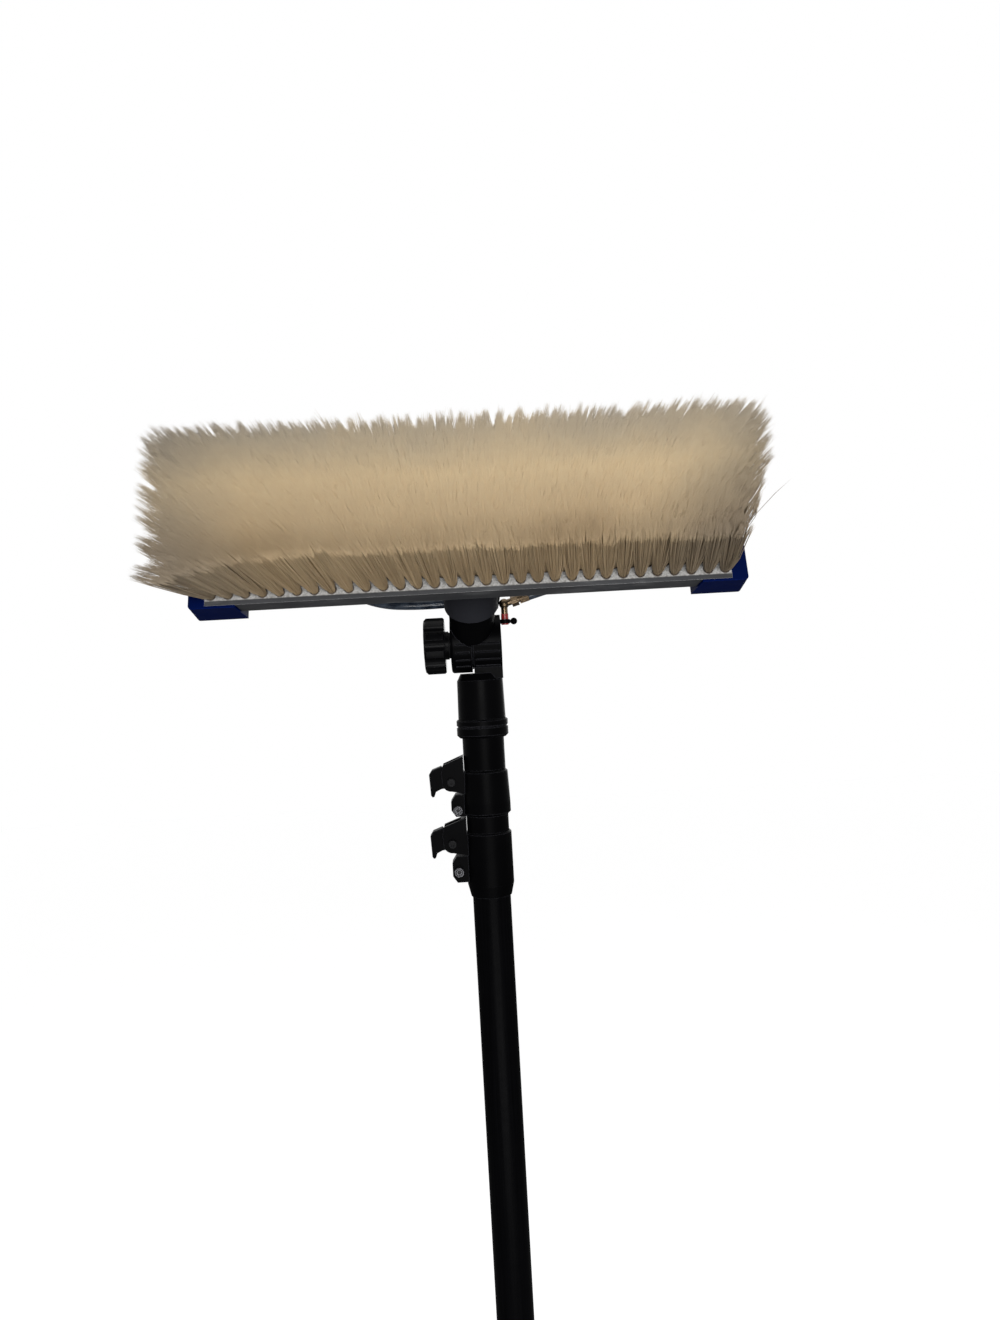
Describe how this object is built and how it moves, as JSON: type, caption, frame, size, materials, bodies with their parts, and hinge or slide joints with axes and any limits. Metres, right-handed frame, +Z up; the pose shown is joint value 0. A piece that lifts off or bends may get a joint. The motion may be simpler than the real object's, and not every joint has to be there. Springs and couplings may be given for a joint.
{
  "type": "window cleaning pole with brush",
  "caption": "Wide water-fed window cleaning brush on a tilting adapter, on a telescopic pole with lever clamps.",
  "frame": {"origin": "centre of the butt cap's foot, the pole's lower end", "axes": "+Z up the pole to the brush, -Y the way the bristles reach forward, -X the side of the clamp levers and the tilt knob, +X the side of the water inlet"},
  "size_m": [0.4848, 0.216, 1.6682],
  "materials": {
    "tube": "black anodised, fine satin",
    "black_rubber": "matt moulded rubber",
    "clamp_black": "black glass-filled nylon, satin",
    "steel": "zinc plated steel",
    "brass": "machined brass, lightly dulled",
    "red_plastic": "red moulded plastic",
    "boss_grey": "grey moulded plastic, matt",
    "block_white": "white moulded polypropylene",
    "jet_black": "black moulded plastic",
    "bumper_blue": "deep blue soft rubber, satin",
    "hose_blue": "clear blue polyurethane tube",
    "bristle": "cream nylon filament tufts with split tips"
  },
  "bodies": {
    "outer_section": {"outer_tube": "tube", "butt_cap": "black_rubber", "lower_clamp_body": "clamp_black", "lower_pinch_bolt": "steel", "lower_nuts": "steel", "lower_lever_pin": "steel", "lower_cam_pad": "black_rubber"},
    "lower_lever": {"lower_lever": "clamp_black"},
    "middle_section": {"middle_tube": "tube", "middle_guide_bush": "clamp_black", "upper_clamp_body": "clamp_black", "upper_pinch_bolt": "steel", "upper_nuts": "steel", "upper_lever_pin": "steel", "upper_cam_pad": "black_rubber"},
    "upper_lever": {"upper_lever": "clamp_black"},
    "inner_section": {"inner_tube": "tube", "inner_guide_bush": "clamp_black", "neck_sleeve": "clamp_black", "lock_ring": "clamp_black", "hinge_socket": "clamp_black", "socket_screws": "steel", "hinge_bolt": "steel", "friction_disc": "clamp_black", "knob_washer": "steel"},
    "clamp_knob": {"hand_knob": "clamp_black", "knob_insert": "brass"},
    "brush_head": {"hinge_spigot": "clamp_black", "socket_boss": "boss_grey", "boss_screws": "steel", "brush_block": "block_white", "bumper_left": "bumper_blue", "bumper_right": "bumper_blue", "bumper_screws": "steel", "jet_left": "jet_black", "jet_right": "jet_black", "feed_tee": "clamp_black", "brass_elbow": "brass", "inlet_collar": "red_plastic", "inlet_clip": "clamp_black", "hose_left": "hose_blue", "hose_right": "hose_blue", "tuft_row_01": "bristle", "tuft_row_02": "bristle", "tuft_row_03": "bristle", "tuft_row_04": "bristle", "tuft_row_05": "bristle", "tuft_row_06": "bristle", "tuft_row_07": "bristle", "tuft_row_08": "bristle", "tuft_row_09": "bristle", "tuft_row_10": "bristle", "tuft_row_11": "bristle", "tuft_row_12": "bristle"}
  },
  "joints": [
    {"name": "middle_slide", "type": "slide", "parent": "outer_section", "child": "middle_section", "axis": [0, 0, 1], "range_m": [0, 0.95]},
    {"name": "inner_slide", "type": "slide", "parent": "middle_section", "child": "inner_section", "axis": [0, 0, 1], "range_m": [0, 0.95]},
    {"name": "brush_tilt", "type": "hinge", "parent": "inner_section", "child": "brush_head", "pos_m": [0, 0, 1.4969], "axis": [1, 0, 0], "range_deg": [-45, 50]},
    {"name": "knob_turn", "type": "hinge", "parent": "inner_section", "child": "clamp_knob", "pos_m": [0, 0, 1.4969], "axis": [1, 0, 0], "range_deg": [0, 360]},
    {"name": "lower_lever_turn", "type": "hinge", "parent": "outer_section", "child": "lower_lever", "pos_m": [-0.03325, 0, 1.315], "axis": [0, 1, 0], "range_deg": [0, 55]},
    {"name": "upper_lever_turn", "type": "hinge", "parent": "middle_section", "child": "upper_lever", "pos_m": [-0.0314, 0, 1.3714], "axis": [0, 1, 0], "range_deg": [0, 55]}
  ]
}
